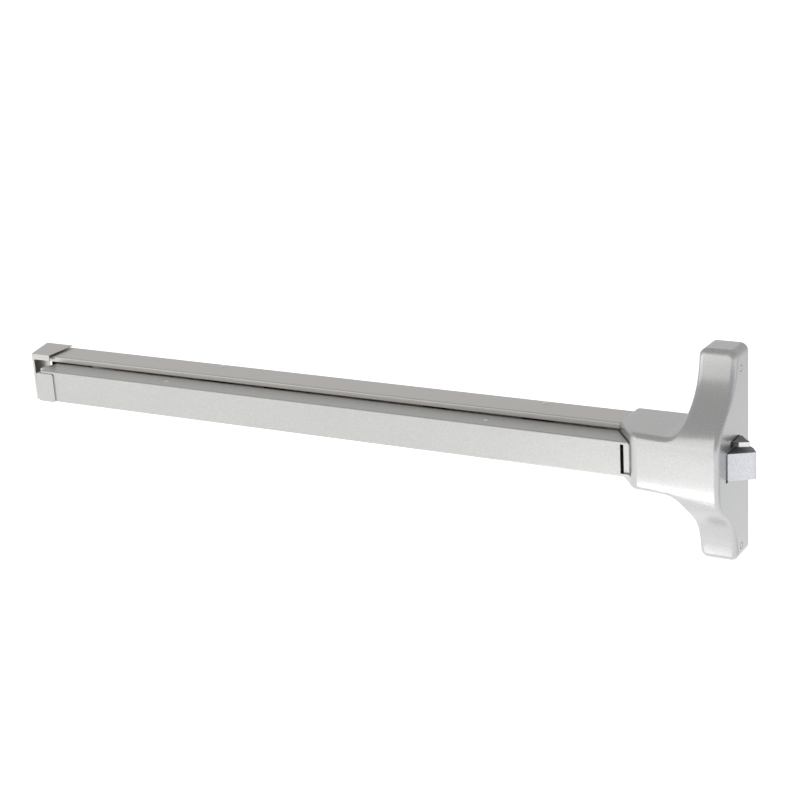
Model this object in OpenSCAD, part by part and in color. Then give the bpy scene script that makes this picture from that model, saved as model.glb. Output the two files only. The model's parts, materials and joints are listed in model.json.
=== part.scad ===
// Panic exit bar, rim type, for the push side of a door.
// Frame: X runs along the bar with the latch at +X, Y points into the door
// (door face at y = 0, room side at -Y) and Z is up.
// The origin is the centre of the head on the door face.

/* [Rail] */
// Height of the rail channel
rail_h = 50.8; // [46:0.2:54]
// Depth of the rail channel, door face to front lips
rail_d = 38.6; // [36:0.2:40]
// Wall thickness of the rail channel
rail_wall = 2; // [1.6:0.2:2.4]
// Height of the front lips
rail_lip = 6.3; // [5:0.1:6.4]
// Hinge end of the rail channel
rail_x0 = -826; // [-1000:1:-760]
// Latch end of the rail channel, inside the neck of the head
rail_x1 = -72; // [-76:1:-70]

/* [Push bar] */
// Height of the push bar
bar_h = 36; // [33:0.2:36]
// Front face of the push bar, from the door
bar_front = 68.9; // [66:0.1:70]
// Depth of the push bar flanges
bar_d = 29.9; // [27:0.1:30]
// Wall thickness of the push bar
bar_wall = 2; // [1.6:0.2:2.4]
// Hinge end of the push bar
bar_x0 = -803; // [-980:1:-750]
// Where the front plate stops, short of the flanges
bar_plate_x1 = -86; // [-92:1:-84]

/* [Swing links] */
// Distance between the two links along the rail
link_pitch = 397; // [300:1:420]
// First rail pin, along the bar
link_x0 = -590; // [-620:1:-560]
// Rail pins, from the door
link_pin_y = 7; // [7:0.1:8]
// Offset of each bar pin from its rail pin, along the bar
link_dx = -43; // [-44:1:-42]
// Offset of each bar pin from its rail pin, away from the door
link_dy = 49; // [48:1:50]
// Pin diameter
pin_d = 4; // [3.6:0.1:4.2]

/* [Head] */
// Height of the head
head_h = 212.8; // [200:0.2:220]
// Bar side of the head's upright limb
head_x0 = -20.2; // [-21:0.2:-18]
// Latch side of the head's upright limb
head_x1 = 18; // [17:0.2:18.4]
// Depth of the head at its middle
head_mid = 84; // [82:0.5:86]
// Depth that the head's ends settle to
head_end = 30; // [28:0.5:32]
// Height at which the head is half way between the two depths
head_half_z = 56; // [52:1:60]
// How sharply the head's depth falls away
head_fall = 5; // [4:0.5:6]
// How much shallower the head gets along the neck, per millimetre
neck_fall = 0.11; // [0:0.01:0.12]
// Height of the neck
neck_h = 57.8; // [56:0.2:60]
// Left end of the neck, at the rail
neck_x0 = -98.8; // [-100:0.2:-96]
// Wall thickness of the head cover
cover_wall = 2.2; // [1.8:0.1:2.4]
// Rounding of the head cover's edges
cover_round = 5.5; // [4:0.25:6]

/* [Latch] */
// How far the latch bolt slides
latch_throw = 22; // [20:0.5:22]
// Underside of the latch bolt
latch_z0 = -13; // [-13.2:0.1:-12]
// Top of the latch bolt
latch_z1 = 14; // [13:0.1:14]
// Underside of the auxiliary latch
aux_z0 = 17.5; // [17.5:0.1:17.8]
// Thickness of the auxiliary latch
aux_t = 5; // [4.5:0.1:5]
// How far the auxiliary latch slides
aux_throw = 15; // [12:0.5:15]

/* [Hidden] */
$fn = 48;

silver = "#c6c7c4";
warm_silver = "#b9b4ae";
steel = "#9aa0a6";
dark_steel = "#5b5f63";
rubber = "#2c2d2e";
eps = 0.01;
run_gap = 0.05;    // running fit, radial
gap = 0.3;         // between bodies that pass each other

rail_z = rail_h / 2;
bar_z = bar_h / 2;
bar_back = bar_front - bar_d;
head_z = head_h / 2;
neck_z = neck_h / 2;
pin_r = pin_d / 2;
pin_head_r = 2.8;
pin_head_t = 1.2;
cap_half = rail_z + 2.5;  // half height of the rail end cap
cap_front = 43.5;         // front of the cap, from the door
cap_t = 1.1;
cap_lip = 7;

// The neck's end wall is slanted in plan, along the path the bar takes when pressed.
slant_back = [neck_x0, 40];
slant_front = slant_back + 38 * [0.785, 1];
slant = (slant_front - slant_back) / norm(slant_front - slant_back);
slant_out = [-slant[1], slant[0]];

// Bell crank: one arm is pushed toward the door, the other pulls the latch.
crank_pos = [-46, 22];
crank_swing = 48;
arm_drive = 23.4;
arm_latch = latch_throw / 2 / sin(crank_swing / 2);
nose_r = 5;
latch_pin_r = 2.5;
crank_hub_r = 4.8;
arm_z0 = 6.5;
arm_t = 3;
drive_tip = crank_pos + arm_drive * [-cos(crank_swing / 2), sin(crank_swing / 2)];
latch_tip = crank_pos + arm_latch * [sin(crank_swing / 2), cos(crank_swing / 2)];

guide_pins = [-12, 5];  // along the latch bolt
case_t = 2.9;
case_z0 = latch_z0 - gap;
case_z1 = latch_z1 + gap;
base_t = 3;
side_y = 20.4;      // cover screws, from the door
side_z = [-93, 87]; // cover screws, below and above the middle
mount_r = 3.3;      // clearance for a 1/4 in screw
head_bolt_z = 62;
neck_bolt = [-86, 13];
hinge_bolt = [-805, 12];

// ---------- helpers ----------

// A plan shape (x, distance from the door) extruded between two heights.
module plan(z0, z1) {
    translate([0, 0, z0]) linear_extrude(z1 - z0) mirror([0, 1]) children();
}

// A block given by its x range, its range of distances from the door and its z range.
module block(x, d, z) {
    translate([x[0], -d[1], z[0]]) cube([x[1] - x[0], d[1] - d[0], z[1] - z[0]]);
}

// An upright cylinder at a plan position.
module post(at, r, z0, z1) {
    translate([at[0], -at[1], z0]) cylinder(r = r, h = z1 - z0);
}

// A cylinder along Y, from distance d0 to d1 off the door.
module bore_y(x, z, r, d0, d1) {
    translate([x, -d0, z]) rotate([90, 0, 0]) cylinder(r = r, h = d1 - d0);
}

// A cylinder along X.
module bore_x(x0, x1, d, z, r) {
    translate([x0, -d, z]) rotate([0, 90, 0]) cylinder(r = r, h = x1 - x0);
}

// A round-ended bar in plan, from a to b.
module strap(a, b, r) {
    v = b - a;
    translate(a) circle(r);
    translate(b) circle(r);
    translate(a) rotate(atan2(v[1], v[0])) translate([0, -r]) square([norm(v), 2 * r]);
}

// A rivet on the Z axis with a domed head at each end.
module rivet(r, half, head_r, head_t) {
    rotate_extrude() {
        translate([0, -half]) square([r, 2 * half]);
        for (s = [0, 1]) mirror([0, s]) translate([0, half]) intersection() {
            square([head_r, head_t]);
            translate([0, head_t - head_r * 1.6]) circle(head_r * 1.6);
        }
    }
}

// A pan-head screw along +Z with its head on top of z = 0 and a cross recess.
module pan_screw(r, length, head_r, head_t) {
    difference() {
        union() {
            translate([0, 0, -length]) cylinder(r = r, h = length + eps);
            cylinder(r1 = head_r, r2 = head_r * 0.8, h = head_t);
        }
        for (a = [0, 90]) rotate(a) translate([-head_r * 0.6, -0.4, head_t - 0.8]) cube([head_r * 1.2, 0.8, 2]);
    }
}

// A countersunk screw along +Z with its flat head flush with z = 0.
module flat_screw(r, length, head_r) {
    difference() {
        rotate_extrude() polygon([[0, -length], [r, -length], [r, r - head_r], [head_r, 0], [0, 0]]);
        for (a = [0, 90]) rotate(a) translate([-head_r * 0.55, -0.4, -0.9]) cube([head_r * 1.1, 0.8, 2]);
    }
}

// The hole that a flat screw fills.
module sink(r, length, head_r) {
    rotate_extrude() polygon([[0, -length], [r, -length], [r, r - head_r], [head_r, 0], [head_r, 1], [0, 1]]);
}

// A wire swept along points that never run parallel to Z.
function ring(p, t, r, n) =
    let (a = cross(t, [0, 0, 1]), u = a / norm(a), v = cross(u, t))
    [for (i = [0:n - 1]) p + r * (cos(360 * i / n) * u + sin(360 * i / n) * v)];
function tangent(pts, i) =
    let (d = pts[min(i + 1, len(pts) - 1)] - pts[max(i - 1, 0)]) d / norm(d);
module wire(pts, d, n = 8) {
    k = len(pts);
    verts = [for (i = [0:k - 1]) each ring(pts[i], tangent(pts, i), d / 2, n)];
    sides = [for (i = [0:k - 2]) for (j = [0:n - 1])
        let (a = i * n + j, b = i * n + (j + 1) % n) each [[a, b, b + n], [a, b + n, a + n]]];
    ends = [[for (j = [n - 1:-1:0]) j], [for (j = [0:n - 1]) (k - 1) * n + j]];
    polyhedron(verts, concat(sides, ends));
}
function helix(r, h, turns, start = 0, steps = 14) =
    [for (i = [0:turns * steps]) let (a = start + 360 * i / steps)
        [r * cos(a), r * sin(a), h * i / (turns * steps)]];

// ---------- rail ----------

module rail_section() {
    difference() {
        translate([0, -rail_z]) square([rail_d, rail_h]);
        translate([rail_wall, rail_wall - rail_z]) square([rail_d - 2 * rail_wall, rail_h - 2 * rail_wall]);
        translate([rail_d / 2, rail_lip - rail_z]) square([rail_d, rail_h - 2 * rail_lip]);
    }
}

module rail_channel() {
    color(warm_silver) difference() {
        translate([rail_x0, 0, 0]) rotate([90, 0, 90]) linear_extrude(rail_x1 - rail_x0)
            mirror([1, 0]) rail_section();
        for (i = [0, 1]) post([link_x0 + i * link_pitch, link_pin_y], pin_r, -rail_z - 1, rail_z + 1);
        for (s = [-1, 1]) {
            bore_y(neck_bolt[0], s * neck_bolt[1], mount_r, -1, rail_wall + 1);
            bore_y(hinge_bolt[0], s * hinge_bolt[1], mount_r, -1, rail_wall + 1);
        }
        translate([-99, 0, 0]) rotate([-90, 0, 0]) sink(2, 4, 3.6);
    }
}

// Plan of the rail end cap, grown or shrunk by t.
module cap_plan(t = 0) {
    far = -811 + (t > 0 ? 2 : 0);
    back = t > 0 ? -1 : 0;
    polygon([[-850 + t * 1.04, back], [-837.3 + t * 1.1, cap_front - t], [far, cap_front - t], [far, back]]);
}

module rail_end_cap() {
    z = cap_half;
    color(warm_silver) difference() {
        plan(-z, z) cap_plan();
        plan(cap_t - z, z - cap_t) cap_plan(cap_t);
        block([-834.2, -800], [cap_front - 3, cap_front + 3], [cap_lip - z, z - cap_lip]);
        translate([-834, -16, -z]) rotate([180, 0, 0]) sink(2.1, 4, 3.8);
    }
}

module end_cap_screws() {
    color(steel) translate([-834, -16, -cap_half]) rotate([180, 0, 0]) flat_screw(2, 8, 3.6);
}

module hinge_end_bracket() {
    color(steel) difference() {
        union() {
            block([-824, -785], [rail_wall, 5], [-22.8, 22.8]);
            block([-842, -827], [0, 5], [-24.8, 24.8]);
            block([-830, -822], [rail_wall, 5], [-22.8, 22.8]);
            for (s = [0, 1]) mirror([0, 0, s]) block([-839, -828], [0, 24], [rail_z - 3.2, rail_z - gap / 3]);
        }
        for (s = [-1, 1]) bore_y(hinge_bolt[0], s * hinge_bolt[1], mount_r, -1, 6);
        post([-834, 16], 2, -rail_z - 1, -rail_z + 4);
    }
}

// ---------- head ----------

module chassis_base() {
    inner = cover_wall + 0.6;
    limb = [head_x0 + inner, head_x1 - inner];
    limb_z = head_z - cover_wall - 4.1;
    color(steel) difference() {
        union() {
            block(limb, [0, base_t], [-limb_z, limb_z]);
            block([rail_x1 + 0.5, 0], [0, base_t], [-24.8, 24.8]);
            block([-105, -60], [rail_wall, 5], [-22.8, 22.8]);
            for (x = [limb[0], limb[1] - 2.5]) for (z = side_z)
                block([x, x + 2.5], [0, 25.5], [z - 6, z + 6]);
        }
        for (s = [-1, 1]) {
            bore_y(0, s * head_bolt_z, mount_r, -1, base_t + 1);
            bore_y(neck_bolt[0], s * neck_bolt[1], mount_r, -1, 6);
        }
        for (z = side_z) bore_x(limb[0] - 1, limb[1] + 1, side_y, z, 1.6);
        for (x = [-52, 8]) for (z = [-8, 9]) bore_y(x, z, 1.8, -1, base_t + 1);
        bore_y(-99, 0, 2, -1, 6);
    }
}

module rail_joint_screws() {
    color(dark_steel) translate([-99, 0, 0]) rotate([-90, 0, 0]) flat_screw(2, 4.9, 3.6);
}

// A U-shaped case: a back web on the base and two cheeks that guide the latch.
module latch_case() {
    slot = [-41.5, 12.5];
    color(steel) difference() {
        union() {
            block([-59, 14.5], [base_t, base_t + 2.5], [case_z0 - case_t, case_z1 + case_t]);
            for (z = [case_z0 - case_t, case_z1]) block([-59, 14.5], [base_t, 60], [z, z + case_t]);
            block([-41, -38.5], [30, 40], [case_z1, case_z1 + 7.5]);
        }
        plan(case_z0 - case_t - 1, case_z1 + case_t + 1)
            strap([slot[0] + 5, 43], [slot[1] - 5, 43], 2.5 + run_gap);
        post(crank_pos, 3, case_z0 - case_t - 1, case_z1 + case_t + 1);
        post([-2, 34.5], 2.2, case_z1 - 1, case_z1 + case_t + 1);
        for (x = [-52, 8]) for (z = [-8, 9]) bore_y(x, z, 1.8, base_t - 1, base_t + 4);
    }
}

module case_screws() {
    color(dark_steel) for (x = [-52, 8]) for (z = [-8, 9])
        translate([x, -base_t - 2.5, z]) rotate([90, 0, 0]) pan_screw(1.8, 5.2, 3.4, 2.2);
}

// One upper half of the head's front outline, from the top down to mid height.
// Each entry is [x, z, inward x, inward z]. The left half sweeps into the neck.
outline_corner = 8;
sweep_x = -46;
sweep_z = 69;
sweep_power = 0.645;   // under 1, so that the sweep is squarer than an ellipse
neck_far = -112;
function corner_points(edge, side) = [for (a = [90:-15:0])
    [edge - side * outline_corner * (1 - cos(a)),
     head_z - outline_corner + outline_corner * sin(a), -side * cos(a), -sin(a)]];
function sweep_points() =
    let (rx = head_x0 - sweep_x, rz = sweep_z - neck_z, p = sweep_power)
    [for (i = [0:14])
        let (t = i / 14, a = 90 * (3 - 2 * t) * t * t, c = cos(a), s = sin(a),
             n = [pow(c, 2 - p) / rx, -pow(s, 2 - p) / rz], u = n / norm(n))
        [sweep_x + rx * pow(c, p), sweep_z - rz * pow(s, p), u[0], u[1]]];
mid_heights = [for (z = [20:-5:0]) z];
left_half = concat(corner_points(head_x0, -1), sweep_points(), [[neck_far, neck_z, 1, -1]],
                   [for (z = mid_heights) [neck_far, z, 1, 0]]);
right_half = concat(corner_points(head_x1, 1), [for (p = sweep_points()) [head_x1, p[1], -1, 0]],
                    [[head_x1, neck_z - 2, -1, 0]], [for (z = mid_heights) [head_x1, z, -1, 0]]);
function whole(half) = concat(half, [for (i = [len(half) - 2:-1:0])
    [half[i][0], -half[i][1], half[i][2], -half[i][3]]]);

// Depth of the head at a place along the bar and a height.
function head_depth(x, z) = let (middle = head_mid - neck_fall * (head_x1 - x))
    head_end + (middle - head_end) / (1 + pow(abs(z) / head_half_z, head_fall));

// The head as a solid drawn in by `inset`, with its front edges rounded by r.
module head_form(inset, r) {
    under = 6;
    steps = 4;
    left = whole(left_half);
    right = whole(right_half);
    n = len(left);
    function at(p, d, rise) = let (x = p[0] + p[2] * d, z = p[1] + p[3] * d)
        [x, rise == undef ? under : inset + rise - head_depth(x, z), z];
    function loop(d, rise) = concat([for (i = [0:n - 1]) at(left[i], d, rise)],
                                    [for (i = [n - 1:-1:0]) at(right[i], d, rise)]);
    loops = concat([loop(inset, undef)], [for (k = [0:steps]) let (a = 90 * k / steps)
        loop(inset + r * (1 - cos(a)), r * (1 - sin(a)))]);
    m = 2 * n;
    last = (len(loops) - 1) * m;
    walls = [for (k = [0:len(loops) - 2]) for (i = [0:m - 1])
        let (a = k * m + i, b = k * m + (i + 1) % m) each [[b + m, b, a], [a + m, b + m, a]]];
    front = [for (i = [0:n - 2]) let (a = last + i, b = last + m - 1 - i) each [[b, a + 1, a], [b, b - 1, a + 1]]];
    back = [for (i = [0:n - 2]) let (a = i, b = m - 1 - i) each [[a + 1, b, a], [b - 1, b, a + 1]]];
    polyhedron([for (l = loops) each l], concat(walls, front, back));
}

// What lies beyond the slanted end of the neck, moved in by t.
module beyond_slant(t = 0) {
    far = slant_front + 30 * slant;
    shift = -t * slant_out;
    plan(-60, 60) polygon([[-140, -20], [neck_x0 + t, -20], [neck_x0 + t, slant_back[1] + 0.5 * t],
                           far + shift, [-140, far[1] + 40]]);
}

module head_cover() {
    side_gap = 0.9;
    edge_d = head_depth(-72, 0);
    edge = [slant_x(edge_d, 0), edge_d];
    color(silver) resize([0, 0, head_h]) difference() {
        head_form(0, cover_round);
        beyond_slant();
        // bevel between the slanted end and the front
        plan(-60, 60) translate(edge) rotate(atan2(slant[1], slant[0]) / 2 + 45)
            translate([-20, -1.9]) square([40, 20]);
        difference() {
            head_form(cover_wall, cover_round - cover_wall);
            beyond_slant(cover_wall);
        }
        block([-150, 60], [-30, 0], [-120, 120]);
        // the rail passes under the neck
        block([-120, -60], [-1, rail_d + gap], [-rail_z - gap, rail_z + gap]);
        // slot in the slanted end for the actuator
        block([-120, -80], [30, 50.5], [-14.5, 14.5]);
        // latch bolt and auxiliary latch
        block([10, 30], [27.2, 59], [latch_z0 - side_gap, latch_z1 + side_gap]);
        block([10, 30], [25.2, 46.2], [aux_z0 - side_gap, aux_z0 + aux_t + side_gap]);
        cover_screw_places() sink(1.7, 6, 2.7);
    }
}

module cover_screw_places() {
    for (side = [[head_x0, -90], [head_x1, 90]]) for (z = side_z)
        translate([side[0], -side_y, z]) rotate([0, side[1], 0]) children();
}

module cover_screws() {
    color(steel) cover_screw_places() flat_screw(1.6, 7, 2.5);
}

// ---------- push bar ----------

// Where the bar's flanges stop, a little clear of the slanted end of the neck.
function slant_x(d, off) = slant_back[0] + (d - slant_back[1]) * slant[0] / slant[1] - off / slant[1];

module push_bar() {
    off = 1.1;
    color(silver) difference() {
        plan(-bar_z, bar_z) polygon([[bar_x0, bar_back], [bar_x0, bar_front],
            [slant_x(bar_front, off), bar_front], [slant_x(bar_back, off), bar_back]]);
        block([bar_x0 - 1, 0], [0, bar_front - bar_wall], [bar_wall - bar_z, bar_z - bar_wall]);
        block([bar_plate_x1, 0], [0, bar_front + 1], [bar_wall - bar_z + 1, bar_z - bar_wall - 1]);
        for (i = [0, 1]) post([link_x0 + link_dx + i * link_pitch, link_pin_y + link_dy], pin_r,
                              -bar_z - 1, bar_z + 1);
        for (x = [-160, -140]) translate([x, -54, -bar_z]) rotate([180, 0, 0]) sink(1.8, 5, 3.2);
    }
}

module push_bar_end_cover() {
    inner = bar_z - bar_wall - 0.1;
    side_t = 6.4;
    color(silver) difference() {
        union() {
            // plug in the end of the channel
            block([bar_x0, bar_x0 + 12], [bar_back + 1, bar_front - bar_wall - 0.1], [-inner, inner]);
            block([bar_x0 - side_t, bar_x0], [bar_back, bar_front + 1.2], [-bar_z, 14.5]);
            plan(14, bar_z) polygon([[bar_x0 - side_t, 62], [bar_x0 - side_t, 55], [bar_x0 - 1.5, 46],
                                     [bar_x0, 46], [bar_x0, 62]]);
            // plate over the front face
            translate([0, -bar_front - 1.4, 0]) rotate([-90, 0, 0]) linear_extrude(1.35) mirror([0, 1])
                offset(2.5) offset(delta = -2.5)
                polygon([[bar_x0 - side_t, -bar_z - 0.4], [bar_x0 + 17.5, -bar_z - 0.4], [bar_x0 + 17.5, 15],
                         [bar_x0 - side_t, 15]]);
        }
        block([bar_x0 + 2, bar_x0 + 13], [bar_back, bar_front - bar_wall - 2.5], [2 - inner, inner - 2]);
    }
}

// An arm inside the bar that reaches through the slanted end to the crank.
module bar_actuator() {
    pad_d = drive_tip[1] + nose_r + 0.5;
    inner = bar_z - bar_wall;
    color(steel) difference() {
        union() {
            block([-175, -120], [47, 62], [-inner, 3 - inner]);
            block([-175, -69], [47, 50], [-inner, 8]);
            block([-72, -69], [pad_d, 50], [-8, 8]);
            block([-72, -50.5], [pad_d, pad_d + 2.5], [-8, 8]);
        }
        for (x = [-160, -140]) post([x, 54], 1.8, -inner - 1, 4 - inner);
        block([-118, -60], [46, 51], [-bar_z, -8]);
    }
}

module actuator_screws() {
    color(dark_steel) for (x = [-160, -140])
        translate([x, -54, -bar_z]) rotate([180, 0, 0]) flat_screw(1.8, 5, 3);
}

// ---------- swing links ----------

module link(i) {
    a = [link_x0 + i * link_pitch, link_pin_y];
    b = a + [link_dx, link_dy];
    hub_z = rail_z - rail_wall - 0.4;
    ear_z = bar_z - bar_wall - 0.4;
    color(dark_steel) difference() {
        union() {
            post(a, 4.5, -hub_z, hub_z);
            plan(-13.5, 13.5) strap(a + 0.02 * (b - a), a + 0.78 * (b - a), 1.6);
            for (s = [0, 1]) mirror([0, 0, s]) {
                post(b, 4, 8.5, ear_z);
                plan(8.5, 13.5) strap(a + 0.7 * (b - a), b, 1.6);
            }
        }
        post(a, pin_r + run_gap, -hub_z - 1, hub_z + 1);
        post(b, pin_r + (i == 0 ? run_gap : 3 * run_gap), -ear_z - 1, ear_z + 1);
    }
}

module left_link() {
    link(0);
}

module right_link() {
    link(1);
}

module rail_link_pins() {
    color(steel) for (i = [0, 1]) translate([link_x0 + i * link_pitch, -link_pin_y, 0])
        rivet(pin_r, rail_z, pin_head_r, pin_head_t);
}

module bar_link_pins() {
    color(steel) for (i = [0, 1])
        translate([link_x0 + link_dx + i * link_pitch, -link_pin_y - link_dy, 0])
            rivet(pin_r, bar_z, pin_head_r, 0.8);
}

// Torsion springs on the bar pins, one leg on the link and one on the bar.
module return_springs() {
    coil_r = 3.4;
    wire_d = 1;
    color(steel) for (i = [0, 1])
        translate([link_x0 + link_dx + i * link_pitch, -link_pin_y - link_dy, -6.5])
            wire(concat([[coil_r + 0.3, -9, -0.2]], helix(coil_r, 13, 7), [[coil_r - 0.1, 14, 13.2]]), wire_d, 6);
}

module stop_bumpers() {
    color(rubber) for (x = [-520, -320])
        block([x - 9, x + 9], [rail_wall, bar_back - 19.4], [-18.2, 18.2]);
}

// ---------- crank and latch ----------

module crank() {
    color(dark_steel) difference() {
        union() {
            post(crank_pos, crank_hub_r, case_z0 + gap, case_z1 - gap);
            for (z = [-arm_z0 - arm_t, arm_z0]) plan(z, z + arm_t) {
                strap(crank_pos, drive_tip, 3.6);
                strap(crank_pos, latch_tip, 4);
            }
        }
        post(crank_pos, 3 + run_gap, -20, 20);
        post(drive_tip, 2.5, -20, 20);
        post(latch_tip, latch_pin_r, -20, 20);
    }
}

module crank_pivot_pin() {
    color(steel) {
        post(crank_pos, 3, case_z0 - case_t, case_z1 + case_t);
        post(crank_pos, 4.6, case_z0 - case_t - 1.2, case_z0 - case_t);
    }
}

// The nose that the actuator pushes and the pin that pulls the latch.
module crank_pins() {
    color(steel) {
        post(drive_tip, 2.5, -arm_z0 - arm_t, arm_z0 + arm_t);
        post(drive_tip, nose_r, -arm_z0, arm_z0);
        post(latch_tip, latch_pin_r, -arm_z0 - arm_t, arm_z0 + arm_t);
    }
}

// Torsion spring round the crank's hub.
module crank_spring() {
    r = 5.7;
    color(steel) translate([crank_pos[0], -crank_pos[1], -5]) rotate(120)
        wire(concat([[r + 0.2, -7, -0.2]], helix(r, 9.6, 5), [[r - 0.1, 7, 9.8]]), 1.1);
}

// Outline of the latch bolt in plan: a bevel toward the room and a round tip.
module latch_plan() {
    body_x = -20;
    tip = [for (a = [60:-20:-60]) [37.6 + 2.6 * cos(a), 42.6 + 2.6 * sin(a)]];
    hook = [for (t = [0.25:0.25:1]) [35 - 7 * t, 34 - 5.5 * t * (1.5 - 0.5 * t)]];
    polygon(concat([[body_x, 28.5], [body_x, 58], [18, 58]], tip, [[35, 34]], hook));
}

module latch_bolt() {
    tail = 4.8;
    color("#c9cbcd") difference() {
        union() {
            plan(latch_z0, latch_z1) latch_plan();
            block([latch_tip[0] - 6, -19], [39, 55], [-tail, tail]);
        }
        plan(-tail - 1, tail + 1)
            strap([latch_tip[0], latch_tip[1] - 1], [latch_tip[0], latch_tip[1] + 3.4], latch_pin_r + 0.35);
        for (x = guide_pins) post([x, 43], 2.5, latch_z0 - 1, latch_z1 + 1);
    }
}

module latch_guide_pins() {
    color(steel) for (x = guide_pins) post([x, 43], 2.5, case_z0 - case_t + 0.2, case_z1 + case_t - 0.2);
}

module auxiliary_latch() {
    tip = [for (a = [65:-26:-65]) [31.2 + 2 * cos(a), 40.2 + 2 * sin(a)]];
    hook = [for (t = [0.2:0.2:0.8]) [31 - 12 * t, 37.6 - 15 * t + 4 * t * (1 - t)]];
    color("#d2d3d2") difference() {
        plan(aux_z0, aux_z0 + aux_t)
            polygon(concat([[-15, 26.5], [-15, 43.4], [19, 43.4], [24.4, 45.4]], tip, hook, [[18, 26.5]]));
        plan(aux_z0 - 1, aux_z0 + aux_t + 1)
            strap([-2, 34.5], [-2 + aux_throw, 34.5], 2.2 + run_gap);
    }
}

module auxiliary_guide_pin() {
    color(steel) {
        post([-2, 34.5], 2.2, case_z1, aux_z0 + aux_t + gap);
        post([-2, 34.5], 4.4, aux_z0 + aux_t + gap, aux_z0 + aux_t + gap + 1.4);
    }
}

module auxiliary_spring() {
    z = aux_z0 + aux_t / 2;
    color(steel) translate([-15.8, -34.7, z]) rotate([0, -90, 0])
        wire(helix(1.9, 21.8, 8, 0, 12), 0.8, 8);
}

rail_channel();
rail_end_cap();
end_cap_screws();
hinge_end_bracket();
chassis_base();
rail_joint_screws();
latch_case();
case_screws();
head_cover();
cover_screws();
push_bar();
push_bar_end_cover();
bar_actuator();
actuator_screws();
left_link();
right_link();
rail_link_pins();
bar_link_pins();
return_springs();
stop_bumpers();
crank();
crank_pivot_pin();
crank_pins();
crank_spring();
latch_bolt();
latch_guide_pins();
auxiliary_latch();
auxiliary_guide_pin();
auxiliary_spring();
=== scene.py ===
import json
import math

import bmesh
import bpy
from mathutils import Matrix, Vector


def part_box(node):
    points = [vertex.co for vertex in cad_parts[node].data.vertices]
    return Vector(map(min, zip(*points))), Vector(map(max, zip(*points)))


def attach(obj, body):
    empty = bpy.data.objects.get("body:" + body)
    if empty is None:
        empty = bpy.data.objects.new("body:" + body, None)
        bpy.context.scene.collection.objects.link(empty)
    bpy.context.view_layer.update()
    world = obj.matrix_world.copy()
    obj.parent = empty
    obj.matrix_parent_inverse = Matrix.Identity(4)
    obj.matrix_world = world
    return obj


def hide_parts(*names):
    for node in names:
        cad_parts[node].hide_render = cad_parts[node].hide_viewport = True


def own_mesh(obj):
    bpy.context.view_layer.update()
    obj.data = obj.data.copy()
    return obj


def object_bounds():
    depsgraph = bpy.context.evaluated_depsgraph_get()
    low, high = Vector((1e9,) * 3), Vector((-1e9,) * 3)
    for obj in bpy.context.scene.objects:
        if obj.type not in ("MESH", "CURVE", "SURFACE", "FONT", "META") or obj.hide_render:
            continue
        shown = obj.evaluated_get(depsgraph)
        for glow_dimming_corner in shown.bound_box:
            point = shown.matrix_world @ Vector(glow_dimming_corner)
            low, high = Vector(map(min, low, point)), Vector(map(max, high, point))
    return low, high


# Panic exit bar in its own frame, in metres: X runs along the bar with the latch at +X,
# Y points into the door and Z is up. Shapes are worked out in millimetres, with d the
# distance from the door face, so that a point (x, d, z) stands at (x, -d, z) / 1000.

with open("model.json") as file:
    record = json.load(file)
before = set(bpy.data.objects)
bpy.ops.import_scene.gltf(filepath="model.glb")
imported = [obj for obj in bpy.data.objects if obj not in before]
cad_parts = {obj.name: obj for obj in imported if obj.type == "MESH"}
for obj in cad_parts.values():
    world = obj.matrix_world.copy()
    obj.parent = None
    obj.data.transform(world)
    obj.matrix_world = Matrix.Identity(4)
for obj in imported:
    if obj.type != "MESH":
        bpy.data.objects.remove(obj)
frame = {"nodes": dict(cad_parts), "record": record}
cad_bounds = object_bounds()
MM = 0.001


# ---------- measures taken from the frame ----------

def span(node):
    """The x, d and z ranges of a CAD node, in millimetres."""
    low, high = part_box(node)
    return ((low.x / MM, high.x / MM), (-high.y / MM, -low.y / MM), (low.z / MM, high.z / MM))


rail_x, rail_d, rail_z = span("rail_channel")
bar_x, bar_d, bar_z = span("push_bar")
head_x, _, head_z = span("head_cover")
bolt_z = span("latch_bolt")[2]
aux_z = span("auxiliary_latch")[2]
pin_x, pin_d, pin_z = span("rail_link_pins")
bar_pin_x, bar_pin_d, bar_pin_z = span("bar_link_pins")
WALL = 2.0            # wall of the rail and the bar
LIP = 6.3             # height of the rail's front lips
BOLT_HOLE = 3.3       # radius of the mounting holes
PIN_RADIUS = 2.0


# ---------- mesh helpers ----------

def place(x, d, z):
    return Vector((x, -d, z)) * MM


def new_object(name, vertices, faces):
    """A mesh object with its faces turned outward."""
    mesh = bpy.data.meshes.new(name)
    mesh.from_pydata(vertices, [], faces)
    work = bmesh.new()
    work.from_mesh(mesh)
    bmesh.ops.remove_doubles(work, verts=work.verts, dist=1e-7)
    bmesh.ops.recalc_face_normals(work, faces=work.faces)
    work.to_mesh(mesh)
    work.free()
    made = bpy.data.objects.new(name, mesh)
    bpy.context.scene.collection.objects.link(made)
    return made


def apply_modifiers(obj):
    graph = bpy.context.evaluated_depsgraph_get()
    mesh = bpy.data.meshes.new_from_object(obj.evaluated_get(graph))
    old = obj.data
    obj.modifiers.clear()
    obj.data = mesh
    bpy.data.meshes.remove(old)
    mesh.name = obj.name
    return obj


def soften(obj, width, segments=3, angle=30):
    """Rounds the edges of a piece."""
    bevel = obj.modifiers.new("soften", "BEVEL")
    bevel.width = width * MM
    bevel.segments = segments
    bevel.limit_method = "ANGLE"
    bevel.angle_limit = math.radians(angle)
    bevel.use_clamp_overlap = True
    return apply_modifiers(obj)


def shade(obj, angle=32):
    """Smooth shading up to an angle, with the flats kept flat."""
    obj.data.shade_smooth()
    obj.data.set_sharp_from_angle(angle=math.radians(angle))
    weighted = obj.modifiers.new("flat faces", "WEIGHTED_NORMAL")
    weighted.keep_sharp = True
    return apply_modifiers(obj)


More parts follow.
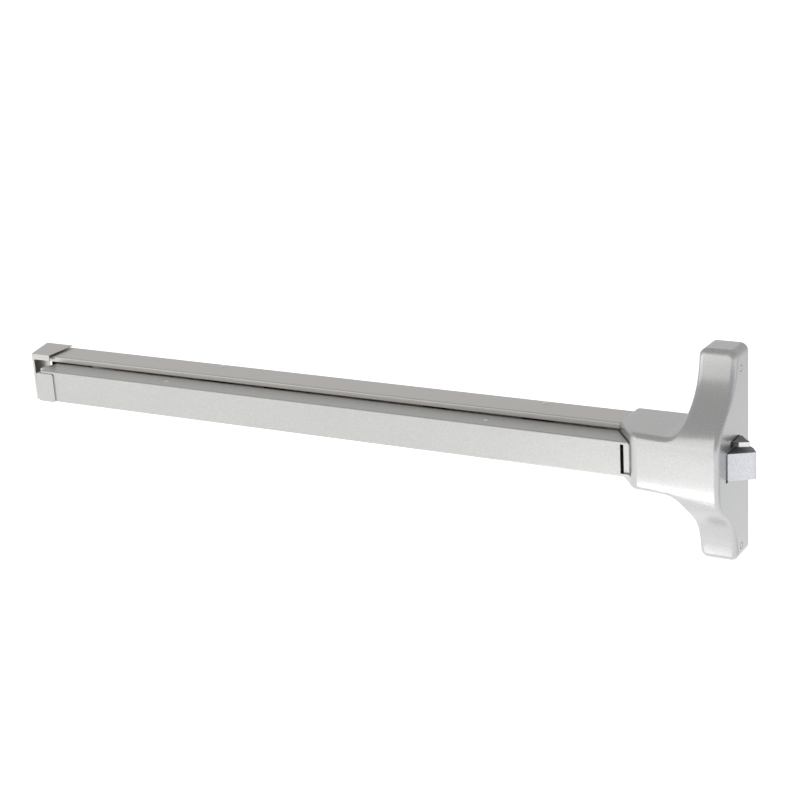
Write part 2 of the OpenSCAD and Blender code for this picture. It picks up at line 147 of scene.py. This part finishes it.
def combine(obj, operation, others):
    for other in others:
        boolean = obj.modifiers.new("combine", "BOOLEAN")
        boolean.operation = operation
        boolean.solver = "EXACT"
        boolean.object = other
        apply_modifiers(obj)
        bpy.data.objects.remove(other)
    return obj


def cut(obj, *cutters):
    """Takes the cutters away from a piece."""
    return combine(obj, "DIFFERENCE", cutters)


def fillet(corners, steps=5):
    """A closed outline from corners (a, b, radius), each rounded by its own radius."""
    outline = []
    for i, (a, b, radius) in enumerate(corners):
        here = Vector((a, b))
        if radius == 0:
            outline.append(here)
            continue
        before = (Vector(corners[i - 1][:2]) - here).normalized()
        after = (Vector(corners[(i + 1) % len(corners)][:2]) - here).normalized()
        half = before.angle(after) / 2
        middle = here + (before + after).normalized() * radius / math.sin(half)
        start = here + before * radius / math.tan(half) - middle
        end = here + after * radius / math.tan(half) - middle
        for k in range(steps + 1):
            outline.append(middle + turned(start, end, k / steps))
    return outline


def turned(start, end, share):
    """start turned part of the way toward end."""
    angle = math.atan2(start.x * end.y - start.y * end.x, start.dot(end)) * share
    c, s = math.cos(angle), math.sin(angle)
    return Vector((start.x * c - start.y * s, start.x * s + start.y * c))


def extrude(name, outline, low, high, to_point):
    """A solid between two levels of an outline; to_point gives the place of (a, b, level)."""
    count = len(outline)
    vertices = [to_point(p[0], p[1], level) for level in (low, high) for p in outline]
    sides = [(i, (i + 1) % count, (i + 1) % count + count, i + count) for i in range(count)]
    caps = [tuple(range(count)), tuple(range(2 * count - 1, count - 1, -1))]
    return new_object(name, vertices, sides + caps)


def along_x(name, outline, x0, x1):
    """An outline of (d, z) drawn out along the bar."""
    return extrude(name, outline, x0, x1, lambda d, z, x: place(x, d, z))


def upright(name, outline, z0, z1):
    """A plan outline of (x, d) drawn out upward."""
    return extrude(name, outline, z0, z1, lambda x, d, z: place(x, d, z))


def box_outline(a, b, radius=0.0):
    corners = [(a[0], b[0]), (a[1], b[0]), (a[1], b[1]), (a[0], b[1])]
    return fillet([(u, v, radius) for u, v in corners])


def block(name, x, d, z, radius=0.0):
    return along_x(name, box_outline(d, z, radius), *x)


def circle(radius, sides=40):
    turns = [2 * math.pi * i / sides for i in range(sides)]
    return [Vector((radius * math.cos(t), radius * math.sin(t))) for t in turns]


def rod(name, radius, start, end):
    """A round bar between two points (x, d, z)."""
    start, end = place(*start), place(*end)
    turn = (end - start).to_track_quat("Z", "Y")
    return extrude(name, circle(radius * MM), 0, (end - start).length,
                   lambda a, b, level: start + turn @ Vector((a, b, level)))


def lathe(name, profile, start, toward, sides=48):
    """A turned solid: profile is (radius, height) from the axis and back, set at start along toward."""
    turn = Vector((toward[0], -toward[1], toward[2])).to_track_quat("Z", "Y")
    origin = place(*start)
    vertices = []
    for i in range(sides):
        t = 2 * math.pi * i / sides
        for radius, height in profile:
            point = Vector((radius * math.cos(t), radius * math.sin(t), height))
            vertices.append(origin + turn @ point * MM)
    rows = len(profile)
    faces = []
    for i in range(sides):
        here, there = i * rows, (i + 1) % sides * rows
        faces += [(here + k, here + k + 1, there + k + 1, there + k) for k in range(rows - 1)]
    return new_object(name, vertices, faces)


def join(name, parts):
    """Several solids as one piece."""
    work = bmesh.new()
    for part in parts:
        work.from_mesh(part.data)
    mesh = bpy.data.meshes.new(name)
    work.to_mesh(mesh)
    work.free()
    for part in parts:
        bpy.data.objects.remove(part)
    made = bpy.data.objects.new(name, mesh)
    bpy.context.scene.collection.objects.link(made)
    return made


def refined(node, width, segments=2):
    """A CAD node's own mesh with welded, rounded edges."""
    mesh = frame["nodes"][node].data.copy()
    work = bmesh.new()
    work.from_mesh(mesh)
    bmesh.ops.remove_doubles(work, verts=work.verts, dist=2e-6)
    bmesh.ops.dissolve_limit(work, angle_limit=math.radians(0.6), verts=work.verts, edges=work.edges)
    work.to_mesh(mesh)
    work.free()
    made = bpy.data.objects.new(node + "_piece", mesh)
    bpy.context.scene.collection.objects.link(made)
    return soften(made, width, segments) if width else made


# ---------- materials ----------

def add(tree, kind, inputs=None, **settings):
    made = tree.nodes.new(kind)
    for key, value in settings.items():
        setattr(made, key, value)
    for key, value in (inputs or {}).items():
        if isinstance(value, bpy.types.NodeSocket):
            tree.links.new(value, made.inputs[key])
        else:
            made.inputs[key].default_value = value
    return made


def noise(tree, where, grain, detail=3.0, roughness=0.55):
    """Noise with grains of about that many millimetres."""
    inputs = {"Vector": where, "Scale": 1 / (grain * MM), "Detail": detail, "Roughness": roughness}
    return add(tree, "ShaderNodeTexNoise", inputs).outputs["Fac"]


def spread(tree, value, low, high, start=0.3, end=0.7):
    """Maps a noise value to a range."""
    return add(tree, "ShaderNodeMapRange", {"Value": value, "From Min": start, "From Max": end,
                                            "To Min": low, "To Max": high}).outputs["Result"]


def tint(tree, factor, dark, light):
    mix = add(tree, "ShaderNodeMix", data_type="RGBA")
    tree.links.new(factor, mix.inputs["Factor"])
    for socket, value in ((mix.inputs[6], dark), (mix.inputs[7], light)):
        if isinstance(value, bpy.types.NodeSocket):
            tree.links.new(value, socket)
        else:
            socket.default_value = value
    return mix.outputs[2]


def scaled(colour, share):
    return tuple(min(c * share, 1.0) for c in colour) + (1.0,)


def metal(name, colour, metallic, roughness, grain, relief, mottle=0.1, flakes=0.0, top=1.0):
    """Painted, plated or blasted metal: a grained tone, uneven gloss, fine relief and bright flakes.
    top is how light the faces that look up are beside the others; below 1 it paints shade on them."""
    material = bpy.data.materials.new(name + "_finish")
    material["slot"] = name
    material.use_nodes = True
    tree = material.node_tree
    tree.nodes.clear()
    where = add(tree, "ShaderNodeTexCoord").outputs["Object"]
    fine = noise(tree, where, grain)
    broad = noise(tree, where, 45.0, detail=2.0)
    tone = tint(tree, spread(tree, fine, 0, 1), scaled(colour, 1 - mottle), scaled(colour, 1 + mottle))
    tone = tint(tree, spread(tree, broad, 0, 0.35), tone, scaled(colour, 1 - 0.6 * mottle))
    if flakes:
        cells = add(tree, "ShaderNodeTexVoronoi", {"Vector": where, "Scale": 1 / (0.55 * MM)})
        bright = spread(tree, cells.outputs["Color"], 0, flakes, 0.82, 0.95)
        tone = tint(tree, bright, tone, scaled(colour, 1.7))
    # Painted shade: faces that look up are darkened toward top times the colour.
    if top < 1:
        normal = add(tree, "ShaderNodeNewGeometry").outputs["Normal"]
        upward_shade_mask = add(tree, "ShaderNodeSeparateXYZ", {"Vector": normal}).outputs["Z"]
        tone = tint(tree, spread(tree, upward_shade_mask, 0, 1, 0.6, 0.9), tone, scaled(colour, top))
    gloss = spread(tree, fine, roughness - 0.06, roughness + 0.06)
    bump = add(tree, "ShaderNodeBump", {"Height": fine, "Distance": relief * MM, "Strength": 0.6})
    shader = add(tree, "ShaderNodeBsdfPrincipled", {
        "Base Color": tone, "Metallic": metallic, "Roughness": gloss, "Normal": bump.outputs["Normal"]})
    add(tree, "ShaderNodeOutputMaterial", {"Surface": shader.outputs["BSDF"]})
    return material


def matt(name, colour, roughness, grain, relief):
    return metal(name, colour, 0.0, roughness, grain, relief, mottle=0.15)


head_paint = metal("head_paint", (0.49, 0.49, 0.487), 0.9, 0.30, 0.9, 0.03, 0.05, flakes=0.25)
rail_paint = metal("rail_paint", (0.535, 0.515, 0.495), 0.9, 0.36, 0.8, 0.04, 0.05, flakes=0.25)
bar_paint = metal("bar_paint", (0.47, 0.47, 0.46), 0.9, 0.38, 1.1, 0.12, 0.10, flakes=0.45)
# The bolt and the auxiliary latch get painted shade on their upward faces (top=0.3).
bolt_metal = metal("bolt_metal", (0.65, 0.66, 0.69), 0.7, 0.45, 1.3, 0.30, 0.16, flakes=0.4, top=0.3)
auxiliary_metal = metal("auxiliary_metal", (0.72, 0.72, 0.70), 0.9, 0.30, 0.9, 0.08, 0.06, top=0.3)
bright_steel = metal("bright_steel", (0.74, 0.74, 0.73), 1.0, 0.28, 0.8, 0.03, 0.06)
# Near black, so the inner parts seen through gaps and openings show as painted shade.
plated_steel = metal("plated_steel", (0.09, 0.09, 0.095), 0.85, 0.42, 1.4, 0.05, 0.15)
spring_steel = metal("spring_steel", (0.34, 0.34, 0.36), 1.0, 0.3, 0.6, 0.02, 0.08)
rubber = matt("rubber", (0.03, 0.03, 0.032), 0.8, 0.9, 0.1)


def dress(obj, material, body, *nodes):
    """Gives a piece its finish and its body, and lets it stand for its CAD nodes."""
    obj.data.materials.clear()
    obj.data.materials.append(material)
    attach(obj, body)
    if nodes:
        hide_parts(*nodes)
    return obj


# ---------- rail ----------

def rail():
    """A folded channel with lips that face each other."""
    x0, x1 = rail_x
    d1 = rail_d[1]
    z = rail_z[1]
    lip = z - LIP
    profile = [(0, -z, 1.6), (d1, -z, 1.6), (d1, -lip, 0.5), (d1 - WALL, -lip, 0.5),
               (d1 - WALL, WALL - z, 0.5), (WALL, WALL - z, 0.5), (WALL, z - WALL, 0.5),
               (d1 - WALL, z - WALL, 0.5), (d1 - WALL, lip, 0.5), (d1, lip, 0.5), (d1, z, 1.6), (0, z, 1.6)]
    made = along_x("rail", fillet(profile), x0, x1)
    cutters = [rod("hole", BOLT_HOLE, (x, -2, s * at), (x, 6, s * at))
               for x, at in ((-86, 13), (-805, 12)) for s in (-1, 1)]
    cutters.append(rod("hole", 2.0, (-99, -2, 0), (-99, 6, 0)))
    return dress(shade(cut(made, *cutters)), rail_paint, "root", "rail_channel")


def rail_cap():
    return dress(shade(refined("rail_end_cap", 0.35, 3)), rail_paint, "root", "rail_end_cap")


# ---------- head ----------

LIMB = (-20.2, head_x[1])
CORNER = 8.0          # rounding of the limb's corners, seen from the front
ROUND = 5.5           # rounding from the front to the sides
DEPTH_MIDDLE = 84.0
DEPTH_ENDS = 30.0
HALF_HEIGHT = 56.0
FALL = 5
NECK_FALL = 0.11      # how much shallower the head gets along the neck
NECK_Z = 28.9
NECK_CORNER = 6.0
SWEEP = (-46.0, 69.0)
SWEEP_POWER = 0.645   # under 1, so that the sweep is squarer than an ellipse
SLANT_START = (-98.8, 40.0)
SLANT_SLOPE = 0.785   # along the bar for each millimetre from the door
NEAR_SLANT = 25       # about how far the slant has run at the front
COVER_WALL = 2.2
SCREW_Z = (-93.0, 87.0)
SCREW_D = 20.4
WINDOW_D = (30, 50.5)  # opening for the actuator, from the door
WINDOW_HALF = 14.5
BOLT_OPENING_D = (27.2, 63.5)
AUX_OPENING_D = (25.2, 50.5)
OPENING_GAP = 0.9     # above and below a latch
LEDGE_D = (51.2, 66.5)
LEDGE_WIDTH = 5.6
LEDGE_HALF = 15.4
BAR_GAP = 1.1         # between the slanted ends of bar and neck
BAR_PLATE_END = -86


def depth_at(x, z):
    """Depth of the head at a place along the bar and a height."""
    middle = DEPTH_MIDDLE - NECK_FALL * (LIMB[1] - x)
    return DEPTH_ENDS + (middle - DEPTH_ENDS) / (1 + (abs(z) / HALF_HEIGHT) ** FALL)


def slant_shift(d):
    """How far the neck's end moves along the bar with the distance from the door."""
    return max(0.0, d - SLANT_START[1]) * SLANT_SLOPE


def arc_angles(first, last, count):
    return [math.radians(first + (last - first) * i / count) for i in range(count + 1)]


def sweep_points(count):
    """The left edge from the limb to the neck, a superellipse: (x, z, inward x, inward z)."""
    rx, rz, p = LIMB[0] - SWEEP[0], SWEEP[1] - NECK_Z, SWEEP_POWER
    points = []
    for i in range(count + 1):
        t = i / count
        a = math.radians(90 * (3 - 2 * t) * t * t)
        c, s = max(math.cos(a), 0.0), math.sin(a)
        normal = Vector((c ** (2 - p) / rx, -s ** (2 - p) / rz)).normalized()
        points.append((SWEEP[0] + rx * c ** p, SWEEP[1] - rz * s ** p, normal.x, normal.y))
    return points


def half_outline():
    """The upper half of the head's outline from the top to mid height, as pairs of a left point and
    a right point. A point is (x, z, inward x, inward z, follows the slant)."""
    left, right = LIMB
    top = head_z[1]
    pairs = []
    for a in arc_angles(90, 0, 10):
        z, back = top - CORNER + CORNER * math.sin(a), CORNER * (1 - math.cos(a))
        pairs.append(((left + back, z, math.cos(a), -math.sin(a), 0),
                      (right - back, z, -math.cos(a), -math.sin(a), 0)))
    for k in range(1, 16):
        z = top - CORNER + (SWEEP[1] - top + CORNER) * k / 16
        pairs.append(((left, z, 1, 0, 0), (right, z, -1, 0, 0)))
    for x, z, nx, nz in sweep_points(50):
        pairs.append(((x, z, nx, nz, 0), (right, z, -1, 0, 0)))
    for a in arc_angles(90, 180, 8):
        x = SLANT_START[0] + NECK_CORNER * (1 + math.cos(a))
        z = NECK_Z - NECK_CORNER + NECK_CORNER * math.sin(a)
        pairs.append(((x, z, -math.cos(a), -math.sin(a), 1), (right, z - 0.001, -1, 0, 0)))
    for k in range(1, 17):
        z = (NECK_Z - NECK_CORNER) * (1 - k / 16)
        pairs.append(((SLANT_START[0], z, 1, 0, 1), (right, z, -1, 0, 0)))
    return pairs


def head_form(name, inset, rounding, start, steps=8):
    """The head as a solid drawn in by inset, with its front edges rounded."""
    upper = half_outline()
    pairs = upper + [tuple((x, -z, nx, -nz, s) for x, z, nx, nz, s in pair) for pair in upper[-2::-1]]
    ring = [left for left, _ in pairs] + [right for _, right in reversed(pairs)]

    def level(point, draw, rise):
        x, z, nx, nz, follows = point
        x, z = x + nx * draw, z + nz * draw
        if follows:
            drop = rise if isinstance(rise, float) else 0
            front_x = x + slant_shift(depth_at(x + NEAR_SLANT, z) - inset - drop)
            depth = depth_at(front_x, z)
        else:
            depth = depth_at(x, z)
        if rise is None:
            d = start
        elif rise == "kink":
            d = min(SLANT_START[1], 0.97 * (depth - inset - rounding))
        else:
            d = depth - inset - rise
        return place(x + follows * slant_shift(d), d, z)

    loops = [(inset, None), (inset, "kink")]
    for a in arc_angles(0, 90, steps):
        loops.append((inset + rounding * (1 - math.cos(a)), rounding * (1 - math.sin(a))))
    vertices = [level(p, draw, rise) for draw, rise in loops for p in ring]
    m, n = len(ring), len(pairs)
    faces = [(k * m + i, k * m + (i + 1) % m, (k + 1) * m + (i + 1) % m, (k + 1) * m + i)
             for k in range(len(loops) - 1) for i in range(m)]
    last = (len(loops) - 1) * m
    for base in (0, last):
        faces += [(base + i, base + i + 1, base + m - 2 - i, base + m - 1 - i) for i in range(n - 1)]
    return new_object(name, vertices, faces)


def ledge():
    """A ledge on the slanted end that stands in the open end of the bar."""
    low, high = LEDGE_D
    left = [SLANT_START[0] + slant_shift(d) - LEDGE_WIDTH for d in LEDGE_D]
    outline = [(left[0], low, 0), (left[0] + 8, low, 0), (left[1] + 8, high, 0), (left[1], high, 1.2)]
    return upright("ledge", fillet(outline), -LEDGE_HALF, LEDGE_HALF)


def head():
    outer = combine(head_form("head", 0.0, ROUND, 0.0), "UNION", [ledge()])
    inner = head_form("hollow", COVER_WALL, ROUND - COVER_WALL, -6.0, 4)
    cutters = [
        inner,
        block("rail notch", (-130, -60), (-5, rail_d[1] + 0.3), (rail_z[0] - 0.3, rail_z[1] + 0.3)),
        block("actuator window", (-130, -80), WINDOW_D, (-WINDOW_HALF, WINDOW_HALF)),
    ]
    for where, (z0, z1) in ((BOLT_OPENING_D, bolt_z), (AUX_OPENING_D, aux_z)):
        cutters.append(block("opening", (10, 30), where, (z0 - OPENING_GAP, z1 + OPENING_GAP), 0.6))
    for x, away in zip(LIMB, (-1, 1)):
        for z in SCREW_Z:
            profile = [(0, 1), (3.3, 1), (3.3, -1.5), (1.7, -1.6), (1.7, -6), (0, -6)]
            cutters.append(lathe("sink", profile, (x, SCREW_D, z), (away, 0, 0)))
    return dress(shade(cut(outer, *cutters), 28), head_paint, "root", "head_cover")


# ---------- push bar ----------

def push_bar():
    """A folded channel, cut along the slanted end of the neck."""
    z = bar_z[1]
    d0, d1 = bar_d
    profile = [(d0, -z, 0.5), (d1, -z, 1.5), (d1, z, 1.5), (d0, z, 0.5), (d0, z - WALL, 0.5),
               (d1 - WALL, z - WALL, 0.4), (d1 - WALL, WALL - z, 0.4), (d0, WALL - z, 0.5)]
    made = along_x("push_bar_channel", fillet(profile), bar_x[0], bar_x[1])
    run = Vector((SLANT_SLOPE, 1)).normalized()
    off = Vector((-run.y, run.x)) * BAR_GAP
    near = Vector(SLANT_START) + off - run * 30
    far = Vector(SLANT_START) + off + run * 80
    beyond = upright("beyond", [near, far, far + Vector((90, 0)), near + Vector((90, 0))], -40, 40)
    short = block("short", (BAR_PLATE_END, 0), (d1 - WALL - 6, d1 + 2), (WALL - z + 1, z - WALL - 1))
    return dress(shade(cut(made, beyond, short)), bar_paint, "push_bar", "push_bar")


def bar_end_cover():
    made = refined("push_bar_end_cover", 0.6, 3)
    return dress(shade(made), bar_paint, "push_bar", "push_bar_end_cover")


# ---------- latch ----------

def latch():
    return dress(shade(refined("latch_bolt", 0.7, 3)), bolt_metal, "latch_bolt", "latch_bolt")


def auxiliary():
    made = refined("auxiliary_latch", 0.35, 2)
    return dress(shade(made), auxiliary_metal, "auxiliary_latch", "auxiliary_latch")


# ---------- rivets and small pieces ----------

def rivets(name, x, d, z, head_radius, head_height, node, body):
    """Pins with a domed head at each end."""
    parts = []
    half = z[1] - head_height
    for at in (x[0] + head_radius, x[1] - head_radius):
        dome = [(head_radius * math.cos(a), half + 0.15 + (head_height - 0.15) * math.sin(a))
                for a in arc_angles(0, 90, 8)]
        upper = [(PIN_RADIUS, half), (head_radius, half)] + dome
        lower = [(r, -h) for r, h in reversed(upper)]
        parts.append(lathe("pin", lower + upper, (at, d, 0), (0, 0, 1)))
    return dress(shade(join(name, parts)), bright_steel, body, node)


PLAIN = {
    "end_cap_screws": bright_steel, "hinge_end_bracket": plated_steel, "chassis_base": plated_steel,
    "rail_joint_screws": plated_steel, "latch_case": plated_steel, "case_screws": bright_steel,
    "cover_screws": bright_steel, "bar_actuator": plated_steel, "actuator_screws": bright_steel,
    "left_link": plated_steel, "right_link": plated_steel, "return_springs": spring_steel,
    "stop_bumpers": rubber, "crank": plated_steel, "crank_pivot_pin": bright_steel,
    "crank_pins": bright_steel, "crank_spring": spring_steel, "latch_guide_pins": bright_steel,
    "auxiliary_guide_pin": bright_steel, "auxiliary_spring": spring_steel,
}


def plain_nodes():
    """Inner pieces keep their CAD shape, with small rounded edges where they are not springs."""
    bodies = frame["record"]["behaviour"]["bodies"]
    owner = {n: body for body, members in bodies.items() for n in members}
    for node, material in PLAIN.items():
        width = 0.0 if "spring" in node else 0.25
        made = dress(shade(refined(node, width), 40), material, owner[node], node)
        if node == "auxiliary_spring":
            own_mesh(made)


# ---------- stage, lights and camera ----------

def floor():
    """A plain pale floor with painted light: it glows so that it shows white, and glows less behind the
    latch end, which paints a darker reflection on the head's side.
    """
    size = 30.0
    level = cad_bounds[0][2] - 0.40
    corners = [(-size, -size, level), (size, -size, level), (size, size, level), (-size, size, level)]
    made = new_object("floor", [Vector(c) for c in corners], [(0, 1, 2, 3)])
    glowing_paper = matt("floor_paper", (0.85, 0.85, 0.85), 0.7, 4.0, 0.02)
    shader = next(n for n in glowing_paper.node_tree.nodes if n.type == "BSDF_PRINCIPLED")
    shader.inputs["Emission Color"].default_value = (1, 1, 1, 1)
    tree = glowing_paper.node_tree
    along = add(tree, "ShaderNodeSeparateXYZ", {"Vector": add(tree, "ShaderNodeTexCoord").outputs["Object"]})
    right = spread(tree, along.outputs["X"], 0, 1, 0.15, 0.9)
    behind = spread(tree, along.outputs["Y"], 0, 1, -0.3, 0.4)
    glow_dimming_corner = add(tree, "ShaderNodeMath", {0: right, 1: behind}, operation="MULTIPLY").outputs["Value"]
    # Painted light: the floor's glow, weaker toward the right and behind.
    tree.links.new(spread(tree, glow_dimming_corner, 0.75, 0.3, 0, 1), shader.inputs["Emission Strength"])
    made.data.materials.append(glowing_paper)


def softbox(name, aim, direction, distance, size, power, colour):
    light = bpy.data.lights.new(name, "AREA")
    light.shape = "RECTANGLE"
    light.size, light.size_y = size
    light.energy = power
    light.color = colour
    made = bpy.data.objects.new(name, light)
    toward = Vector(direction).normalized()
    made.location = Vector(aim) + toward * distance
    made.rotation_euler = toward.to_track_quat("Z", "Y").to_euler()
    made.visible_camera = False
    bpy.context.scene.collection.objects.link(made)


def lights():
    centre = (-0.3, -0.04, 0.0)
    softbox("key", centre, (-0.9, -1.0, 0.28), 2.2, (2.4, 1.4), 8.3, (1.0, 0.99, 0.97))
    softbox("side", centre, (1.0, 0.10, 0.15), 2.0, (1.2, 1.2), 1.6, (0.45, 0.70, 1.0))
    softbox("back", centre, (-0.485, 0.818, 0.36), 2.2, (2.4, 1.0), 1.4, (1.0, 1.0, 1.0))
    softbox("low", (0, -0.08, 0), (-0.42, -0.69, -0.59), 0.6, (0.36, 0.17), 0.46, (1.0, 1.0, 1.0))
    world = bpy.data.worlds.new("studio")
    world.use_nodes = True
    tree = world.node_tree
    tree.nodes.clear()
    direction = add(tree, "ShaderNodeTexCoord").outputs["Generated"]
    up = add(tree, "ShaderNodeSeparateXYZ", {"Vector": direction}).outputs["Z"]
    sky = tint(tree, spread(tree, up, 0, 1, 0.0, 0.9), (0.67, 0.67, 0.67, 1), (0.56, 0.56, 0.56, 1))
    back = add(tree, "ShaderNodeBackground", {"Color": sky, "Strength": 1.0})
    add(tree, "ShaderNodeOutputWorld", {"Surface": back.outputs["Background"]})
    bpy.context.scene.world = world
    bpy.context.scene.view_settings.view_transform = "Standard"


def camera():
    """The camera looks from the right of the latch, a little above the bar."""
    azimuth, elevation, roll = math.radians(30.638), math.radians(18.034), math.radians(-3.664)
    distance, side, rise = 1738.921, 319.686, -44.908
    back = Vector((math.sin(azimuth) * math.cos(elevation), -math.cos(azimuth) * math.cos(elevation),
                   math.sin(elevation)))
    level = Vector((math.cos(azimuth), math.sin(azimuth), 0))
    above = back.cross(level)
    right = math.cos(roll) * level + math.sin(roll) * above
    up = -math.sin(roll) * level + math.cos(roll) * above
    data = bpy.data.cameras.new("camera")
    data.sensor_width = 36
    data.lens = 80.895
    made = bpy.data.objects.new("camera", data)
    turn = Matrix((right, up, back)).transposed()
    made.matrix_world = Matrix.Translation((distance * back - side * right - rise * up) * MM) @ turn.to_4x4()
    bpy.context.scene.collection.objects.link(made)
    bpy.context.scene.camera = made


camera()
lights()
floor()
rail()
rail_cap()
head()
push_bar()
bar_end_cover()
latch()
auxiliary()
rivets("rail_rivets", pin_x, sum(pin_d) / 2, pin_z, 2.8, 1.2, "rail_link_pins", "root")
rivets("bar_rivets", bar_pin_x, sum(bar_pin_d) / 2, bar_pin_z, 2.555, 0.8, "bar_link_pins", "push_bar")
plain_nodes()
